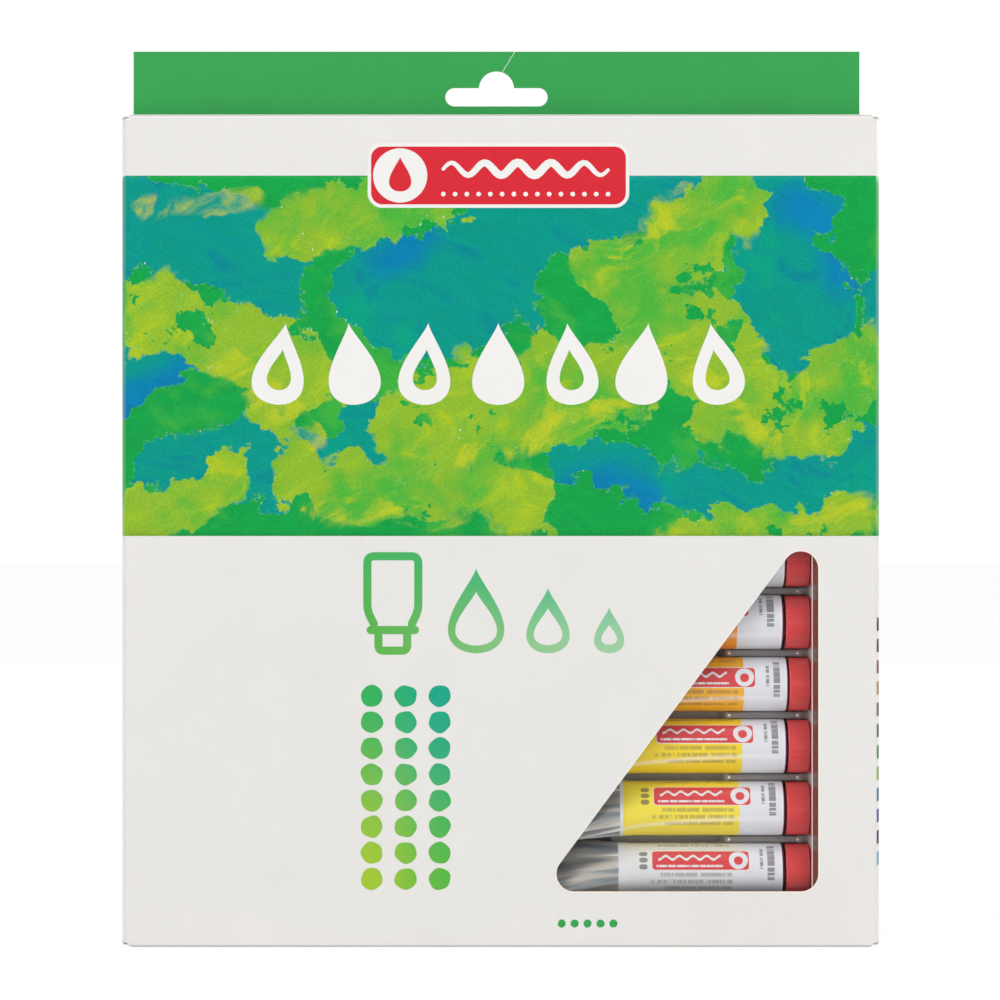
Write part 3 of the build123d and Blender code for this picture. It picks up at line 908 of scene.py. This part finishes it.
def painted_tube(side, row, group):
    name = f"tube_{side}_{row:02d}"
    low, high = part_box(name)
    axis_y, axis_z = (low.y + high.y) / 2 / MM, (low.z + high.z) / 2 / MM
    sign = 1 if side == "right" else -1
    source = random.Random(f"{side}{row}")
    turn = radians(LABEL_TURNS[row - 1] if side == "right" else source.uniform(10, 30))
    shift = PRINT_SHIFTS[row - 1] if side == "right" else source.uniform(-0.1, 0.4)
    slid = TUBE_SHIFTS[row - 1] if side == "right" else source.uniform(-0.4, 0.6)
    half_crimp, half_thick, around_count = pi * BARREL_RADIUS / 2, 0.6, 48
    creases_end, creases_full, depth = 52, 28, 1.6  # where along the tube, and how deep
    waves = [(source.randint(3, 7), source.uniform(0, tau), source.uniform(0.05, 0.11)) for _ in range(5)]
    points, along_values, around_values = [], [], []
    _, crimp, whole, shoulder, neck = TUBE_ENDS.values()
    for x, flat, radius in tube_sections():
        if flat is None:
            flat = ((whole - x) / (whole - crimp)) ** 1.3
        loose = clamp((creases_end - x) / (creases_end - creases_full)) * (1 - flat**6)
        for angle in once_round(around_count):
            crease = sum(size * (1 + sin(order * angle + phase + x * 0.09)) for order, phase, size in waves)
            crease *= depth * loose * sin(angle) ** 2 * (0.4 + 0.6 * sin(x * 0.11 + waves[0][1]) ** 2)
            square = max(abs(cos(angle)), abs(sin(angle)))
            round_part = ((radius or BARREL_RADIUS) - crease) * (1 - flat)
            wide = cos(angle) * (round_part + half_crimp * flat / square)
            deep = sin(angle) * (round_part + half_thick * flat / square)
            up = wide * cos(CRIMP_TILT) + deep * sin(CRIMP_TILT)
            back = wide * sin(CRIMP_TILT) - deep * cos(CRIMP_TILT)
            points.append((sign * (x + slid if x < neck else x), axis_y + back, axis_z + up))
            along_values.append(x - shift if x < shoulder - 3 else x)
            from_label = (pi / 2 + CRIMP_TILT - turn - angle + pi) % tau - pi
            around_values.append(from_label * BARREL_RADIUS)
    # The painted highlight line: how far below the axis it lies, and how bright it is
    below, highlight_strength = PAINTED_HIGHLIGHTS[row - 1]
    line = (turn + radians(below)) * BARREL_RADIUS
    finish = tube_finish(f"{name}_finish", group, Paint=PAINTS[side][row - 1], Line=line, Burnish=highlight_strength)
    made = mesh_object(f"painted_{name}", points, closed_faces(points, around_count, sign > 0), finish)
    give_values(made, "along", along_values)
    give_values(made, "around", around_values)
    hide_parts(name)
    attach(made, "carton")


# -------- caps
CAP_RADIUS, CAP_RIBS, RIB_DEPTH = 8.15, 92, 0.18
BORE_RADIUS, SKIRT_RADIUS = 3.66, 7.45


def ribbed_cap(side, row, material):
    name = f"cap_{side}_{row:02d}"
    low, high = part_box(name)
    axis_y, axis_z = (low.y + high.y) / 2 / MM, (low.z + high.z) / 2 / MM
    inner_x, outer_x = sorted((abs(low.x / MM), abs(high.x / MM)))
    sign = 1 if side == "right" else -1
    skirt_out, end_in = 0.35, 0.6  # how far from its ends in the CAD the cap starts and stops
    start = inner_x + CAP_SHIFTS[row - 1] - skirt_out
    length = outer_x - end_in - start
    # (along the cap, radius, how deep the ribs are cut, how much paler it is painted there)
    rings = [
        (5.6, BORE_RADIUS, 0, 0), (2.0, BORE_RADIUS, 0, 0), (2.0, SKIRT_RADIUS, 0, 0),
        (0.1, SKIRT_RADIUS, 0, 0), (0, SKIRT_RADIUS + 0.1, 0, 0.2), (0, CAP_RADIUS - 0.3, 0, 0.3),
        (0.08, CAP_RADIUS - 0.1, 0, 0.7), (0.3, CAP_RADIUS, 0.2, 0.6), (0.55, CAP_RADIUS, 1, 0),
        (length - 0.45, CAP_RADIUS, 1, 0), (length - 0.25, CAP_RADIUS, 0.2, 0.3),
        (length - 0.08, CAP_RADIUS - 0.1, 0, 0.3), (length, CAP_RADIUS - 0.3, 0, 0.2),
        (length, CAP_RADIUS - 1.5, 0, 0), (length - 0.35, CAP_RADIUS - 1.9, 0, 0),
    ]
    count = 2 * CAP_RIBS
    points, pales = [], []
    for along, radius, cut, edge_paleness in rings:
        for step in range(count):
            reach = radius - (RIB_DEPTH * cut if step % 2 else 0)
            angle = tau * (step + 0.5 * (row % 2)) / count
            points.append((sign * (start + along), axis_y + reach * cos(angle), axis_z + reach * sin(angle)))
            # Each rib's crest gets a painted highlight, as strong as the rib is cut deep
            pales.append(max(edge_paleness, 0 if step % 2 else 0.75 * cut))
    faces = closed_faces(points, count, sign < 0)
    made = mesh_object(f"ribbed_{name}", points, faces, material, smooth=False)
    give_values(made, "pale", pales)
    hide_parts(name)
    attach(made, name)


# -------- tray
SHEET, BEND, WALL_RUN, LIP = 0.4, 0.3, 0.04, 5.0
PITCH, FIRST_AXIS, POCKET_RADIUS, POCKET_MARGIN = 19.2, 22.3, 8.5, 3.2
LAST_AXIS = FIRST_AXIS + PITCH * (row_count - 1)
# The formed walls, by X to either side and by Z
TRAY_END, TRAY_CORNER = 95.25, 5.3
TRAY_LOW, TRAY_HIGH = FIRST_AXIS - POCKET_RADIUS - POCKET_MARGIN, LAST_AXIS + POCKET_RADIUS + POCKET_MARGIN
SADDLE_INNER, SADDLE_OUTER, TAIL_X = 70.2, 92.3, 34.0
# Depths behind the front panel
FLANGE_DEPTH, SADDLE_DEPTH, AXIS_DEPTH, END_RIB_DEPTH, LOW_RIB_DEPTH = 0.9, 11.3, 12.3, 13.2, 16.8


def soft_greater(first, second, blend):
    """The greater of two numbers, rounded where they meet."""
    near = max(blend - abs(first - second), 0) / blend
    return max(first, second) + near * near * blend / 4


def wall_drop(inside, drop_depth):
    """Depth below the flange at a signed distance inside a formed wall that has rounded bends."""
    if inside <= -BEND:
        return 0.0
    if inside <= 0:
        return BEND - sqrt(BEND**2 - (inside + BEND) ** 2)
    if inside <= WALL_RUN:
        return BEND + (drop_depth - 2 * BEND) * inside / WALL_RUN
    if inside <= WALL_RUN + BEND:
        return drop_depth - BEND + sqrt(BEND**2 - (BEND - inside + WALL_RUN) ** 2)
    return drop_depth


def tray_depth(x, z):
    """How far behind the front panel the tray's front face lies."""
    x = abs(x)
    middle = (FIRST_AXIS + LAST_AXIS) / 2
    out_x = x - (TRAY_END - TRAY_CORNER)
    out_z = abs(z - middle) - (TRAY_HIGH - middle - TRAY_CORNER)
    inside = TRAY_CORNER - hypot(max(out_x, 0), max(out_z, 0)) - min(max(out_x, out_z), 0)
    saddle_run, rim_drop, rim_run = 2.4, 0.25, 0.4  # the slopes at a saddle's end and a pocket's rim
    nearest = min(max(round((z - FIRST_AXIS) / PITCH), 0), row_count - 1)
    from_axis = abs(z - FIRST_AXIS - nearest * PITCH)
    saddle_share = clamp(min(x - SADDLE_INNER, SADDLE_OUTER - x) / saddle_run + 1)
    saddle_share = saddle_share**2 * (3 - 2 * saddle_share)
    rib = END_RIB_DEPTH if x > SADDLE_OUTER else LOW_RIB_DEPTH
    rib += (SADDLE_DEPTH - rib) * saddle_share
    pocket = AXIS_DEPTH + sqrt(max(POCKET_RADIUS**2 - from_axis**2, 0))
    if x < TAIL_X:
        rib = pocket = AXIS_DEPTH + POCKET_RADIUS
    if FIRST_AXIS - POCKET_RADIUS > z or LAST_AXIS + POCKET_RADIUS < z:
        floor = SADDLE_DEPTH
    elif from_axis > POCKET_RADIUS:
        floor = rib + rim_drop * max(1 - (from_axis - POCKET_RADIUS) / rim_run, 0)
    else:
        floor = soft_greater(pocket, rib, 1.0)
    return FLANGE_DEPTH + wall_drop(inside, floor - FLANGE_DEPTH)


def wall_lines(wall, inward):
    """Grid lines across a formed wall, from the flange to the floor."""
    offsets = [-BEND * share for share in (1.5, 1.25, 1, 0.85, 0.6, 0.36, 0.16, 0.04)]
    offsets += [WALL_RUN + BEND * share for share in (0.02, 0.2, 0.5, 1.0)]
    return [wall + inward * offset for offset in offsets]


def tray_grid(low, high):
    """The X and the Z of the tray's grid lines, which lie close together where the sheet bends."""
    half = wall_lines(TRAY_END, -1)
    half += [94.7, 94.1, 93.5, 92.9, 92.3, 91.4] + spread(89, 72, 8) + [71.0, 70.2, 69.6, 69.0, 68.4, 67.8]
    half += spread(66, 35, 12) + [34.05, 33.95] + spread(31, 0, 8)
    columns = sorted({round(value, 3) for x in half for value in (x, -x)})
    rows = []
    for index in range(row_count):
        centre = FIRST_AXIS + PITCH * index
        pocket = [POCKET_RADIUS * sin(radians(angle)) for angle in (-84, -72, -58, -42, -24, -8)]
        rows += [centre + offset for offset in pocket] + [centre - offset for offset in pocket]
        if index < row_count - 1:
            rows += [centre + PITCH / 2 + offset for offset in (-1.05, -0.82, -0.5, 0, 0.5, 0.82, 1.05)]
    for gap in (0.02, 0.5):
        rows += [FIRST_AXIS - POCKET_RADIUS - gap, LAST_AXIS + POCKET_RADIUS + gap]
    rows += wall_lines(TRAY_LOW, 1) + wall_lines(TRAY_HIGH, -1)
    edge = 0.01
    return [low.x + edge, *columns, high.x - edge], [low.z + edge, *sorted(rows), high.z - edge]


def tray_colours(x, z):
    """How strong at each point the painted highlight along the end wall's bend is, with the painted red
    reflection of the caps and the painted brown shade between them, and how thin a rib is drawn.
    """
    if not TRAY_LOW < z < TRAY_HIGH:
        return (0, 0, 0), 0
    beyond = abs(x) - TRAY_END
    from_axis = abs((z - FIRST_AXIS + PITCH / 2) % PITCH - PITCH / 2)
    cap_reach, cap_fade = 8.7, 1.1
    wall_start, bend_start, bend_end, flange_start, flange_end = -0.8, 0.02, 0.34, 0.28, 6
    by_cap = clamp((cap_reach - from_axis) / cap_fade)
    # Painted highlight along the bend; painted red reflection of the caps on the end wall and flange;
    # painted brown shade on the flange between the caps
    pale = clamp((bend_end - beyond) / 0.1) if beyond > bend_start else 0
    flange = clamp((beyond - flange_start) / 0.08) if beyond < flange_end else 0
    wall = by_cap if wall_start < beyond <= bend_start else 0
    drawn = clamp(max(SADDLE_INNER + 0.7 - abs(x), abs(x) - SADDLE_OUTER + 0.9))
    return (pale, max(flange, wall) * by_cap, flange * (1 - by_cap)), drawn


def smoky_tray():
    columns, rows = tray_grid(*(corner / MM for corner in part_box("tray")))
    columns, rows = [columns[0], *columns, columns[-1]], [rows[0], *rows, rows[-1]]
    wide, tall = len(columns), len(rows)
    points, formed, drawn = [], [], []
    for row, z in enumerate(rows):
        for column, x in enumerate(columns):
            on_lip = column in (0, wide - 1) or row in (0, tall - 1)
            points.append((x, front_y + tray_depth(x, z) + (LIP if on_lip else 0), z))
            colours, thin = tray_colours(x, z)
            formed.append(colours)
            drawn.append(thin)
    made = mesh_object("smoky_tray", points, grid_faces(wide, tall), smoky_plastic_finish())
    # The painted highlight, painted red reflection and painted brown shade, point by point
    give_values(made, "formed", formed)
    give_values(made, "drawn", drawn)
    thicken(made, SHEET)
    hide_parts("tray")
    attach(made, "carton")


def tray_glint_pips():
    """Small near-white pips at both ends of each saddle, which stand in for the glints of light there:
    painted highlights.
    """
    radius, around_count, levels = 0.46, 12, (-0.12, 0.35, 0.7, 0.92)
    # Painted highlights: near-white plastic dots where light would glint on the saddle ends
    finish = Finish("glint_pip_white", Roughness=0.25)
    cloud = finish.noise(finish.place(), 900, 2)
    finish.set(Base_Color=finish.mix(cloud, (0.93, 0.91, 0.90), (0.97, 0.96, 0.95)))
    pip = grid_faces(around_count, len(levels), closed=True)
    pip.append(range(3 * around_count, 4 * around_count))
    points, faces = [], []
    for row in range(row_count - 1):
        z = FIRST_AXIS + PITCH * (row + 0.5)
        for x in (SADDLE_INNER + 0.5, SADDLE_OUTER - 0.5, 0.5 - SADDLE_OUTER, -SADDLE_INNER - 0.5):
            base = front_y + tray_depth(x, z)
            faces += [tuple(len(points) + corner for corner in face) for face in pip]
            for level in levels:
                ring = radius * sqrt(1 - max(level, 0) ** 2)
                for angle in once_round(around_count):
                    points.append((x + ring * cos(angle), base - radius * level, z + ring * sin(angle)))
    glint_pips = mesh_object("tray_glint_pips", points, faces, finish.material)
    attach(glint_pips, "carton")


def window_cut_edge():
    """The window's cut edge, which the die has pressed round: cream core, and white along the slope."""
    slope = 143.4  # the direction that the slope faces
    inset, right, top = 22.5, 91.8, 115.8  # the centres of the rounded corners
    radius, wide = 5.4, 0.4
    corners = ((right, inset, -90, 0), (right, top, 0, slope), (inset, inset, slope, 270))
    rim, hole = (round_corners(corners, reach, 25) for reach in (radius + wide, radius))
    finish = Finish("window_cut_edge", Roughness=0.5, Specular_IOR_Level=0.3)
    normal = (cos(radians(slope)), 0, sin(radians(slope)))
    across = inset * (normal[0] + normal[2]) + radius
    on_slope = finish.beyond(normal, across - 0.7, 1.2)
    edge = on_paper(finish, finish.mix(on_slope, (0.92, 0.79, 0.69), (0.82, 0.81, 0.80)))
    outline_shape("window_cut_edge", [rim, hole[::-1]], 1, edge)


# -------- camera, light and floor
def add_camera():
    camera = add_object("camera", bpy.data.cameras.new("camera"))
    camera.location = (view_x * MM, (front_y - view_distance) * MM, view_z * MM)
    camera.rotation_euler = (pi / 2, 0, 0)
    camera.data.sensor_width = sensor_width
    camera.data.lens = sensor_width * view_distance / view_width
    camera.data.clip_start = 0.01
    bpy.context.scene.camera = camera


def add_world(strength):
    """Plain light from all round, and white behind the object."""
    world = bpy.data.worlds.new("studio")
    world.use_nodes = True
    bpy.context.scene.world = world
    nodes = Nodes(world.node_tree)
    plain = nodes.tree.nodes["Background"]
    plain.inputs["Color"].default_value = (1, 1, 1, 1)
    plain.inputs["Strength"].default_value = strength
    white = nodes.add("Background", {"Color": (1, 1, 1), "Strength": 1})
    both = nodes.add("MixShader", (nodes.seen_directly(), plain.outputs[0], white))
    nodes.feed(nodes.tree.nodes["World Output"].inputs["Surface"], both)


def add_floor():
    """A white floor: the object's shadow stays on it, softened by the share that shows as plain white."""
    size = 6000.0
    corners = [(-size, -size, 0), (size, -size, 0), (size, size, 0), (-size, size, 0)]
    finish = Finish("floor", Roughness=0.9)
    cloud = finish.noise(finish.place(), 3, 2)
    finish.set(Base_Color=finish.mix(cloud, (0.94,) * 3, (0.96,) * 3))
    glow = finish.add("Emission", {"Color": (1, 1, 1), "Strength": 1.0})
    finish.show_both(finish.seen_directly() * 0.96, finish.surface.outputs[0], glow)
    floor = mesh_object("floor", corners, [(0, 1, 2, 3)], finish.material, smooth=False)
    floor.location.z = -0.1 * MM


def add_softbox(name, place, size, watts):
    lamp = bpy.data.lights.new(name, "AREA")
    lamp.shape = "RECTANGLE"
    lamp.size, lamp.size_y = size
    lamp.energy = watts
    holder = add_object(name, lamp)
    holder.location = place
    towards = Vector((0, 0, 0.13)) - holder.location
    holder.rotation_euler = towards.to_track_quat("-Z", "Y").to_euler()
    holder.visible_camera = False


# -------- the whole object
bpy.context.scene.view_settings.view_transform = "Standard"
add_camera()
add_world(0.41)
add_floor()
add_softbox("softbox_left", (-1.3, -1.1, 0.9), (0.9, 1.2), 11.0)
add_softbox("softbox_right", (1.3, -1.1, 0.9), (0.9, 1.2), 11.0)
add_softbox("softbox_top", (0, -0.3, 1.6), (1.4, 0.8), 7.0)
add_softbox("softbox_back", (0.4, 1.5, 0.9), (1.6, 1.0), 14.0)

finishes = flap_finishes() | {
    "carton_sleeve": board_finish(), "hang_tab_facing": tab_finish(), "window_film": clear_film_finish(),
}
for node_name, material in finishes.items():
    node_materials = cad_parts[node_name].data.materials
    node_materials.clear()
    node_materials.append(material)

painted_band()
badge()
title_drops()
content_pictogram()
count_dots()
footer_dots()
side_patches()
window_cut_edge()
smoky_tray()
tray_glint_pips()
cap_material = cap_finish()
print_group = tube_print_group()
for side in ("left", "right"):
    for row in range(1, row_count + 1):
        painted_tube(side, row, print_group)
        ribbed_cap(side, row, cap_material)
